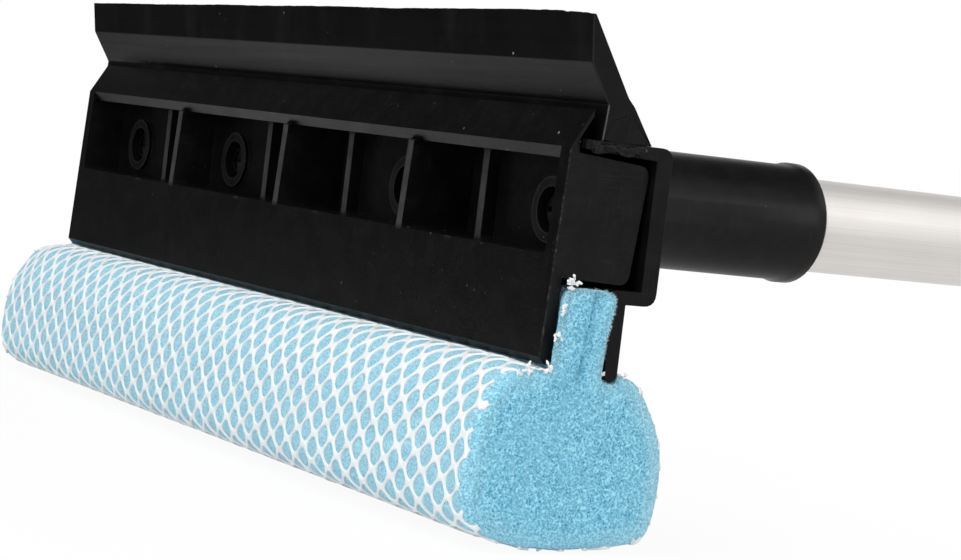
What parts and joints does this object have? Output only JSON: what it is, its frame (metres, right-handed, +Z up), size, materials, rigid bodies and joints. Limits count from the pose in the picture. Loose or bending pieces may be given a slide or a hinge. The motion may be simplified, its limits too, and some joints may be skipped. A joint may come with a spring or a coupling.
{
  "type": "window squeegee",
  "caption": "Window squeegee with a wedge rubber blade over a netted foam sponge, both held by a screwed clamp head on a pole socket, tube pole and grip.",
  "frame": {"origin": "middle knot of the net on the flat underside of the sponge, which the head rests on", "axes": "+X along the head towards the end that the picture shows near, +Y from the head along the pole, +Z up towards the blade"},
  "size_m": [0.206, 0.6589, 0.0845],
  "materials": {
    "black_plastic": "satin",
    "satin_plastic": "satin",
    "blade_rubber": "satin",
    "grip_rubber": "matte",
    "foam": "matte",
    "netting": "matte",
    "pole_aluminium": "satin",
    "screw_steel": "satin"
  },
  "bodies": {
    "head": {"rear_channel": "black_plastic", "pole_socket": "satin_plastic", "socket_screw_1": "screw_steel", "socket_screw_2": "screw_steel", "socket_screw_3": "screw_steel", "socket_screw_4": "screw_steel"},
    "clamp": {"front_frame": "black_plastic", "clamp_screw_1": "screw_steel", "clamp_screw_2": "screw_steel", "clamp_screw_3": "screw_steel", "clamp_screw_4": "screw_steel"},
    "blade": {"blade": "blade_rubber"},
    "sponge": {"sponge": "foam", "net": "netting"},
    "handle": {"pole": "pole_aluminium", "hand_grip": "grip_rubber", "hang_cap": "satin_plastic"}
  },
  "joints": [
    {"name": "clamp_slide", "type": "slide", "parent": "head", "child": "clamp", "axis": [0, -1, 0], "range_m": [0, 0.03]},
    {"name": "blade_slide", "type": "slide", "parent": "head", "child": "blade", "axis": [1, 0, 0], "range_m": [0, 0.21]},
    {"name": "sponge_slide", "type": "slide", "parent": "head", "child": "sponge", "axis": [1, 0, 0], "range_m": [0, 0.21]},
    {"name": "pole_slide", "type": "slide", "parent": "head", "child": "handle", "axis": [0, 1, 0], "range_m": [0, 0.08]}
  ]
}
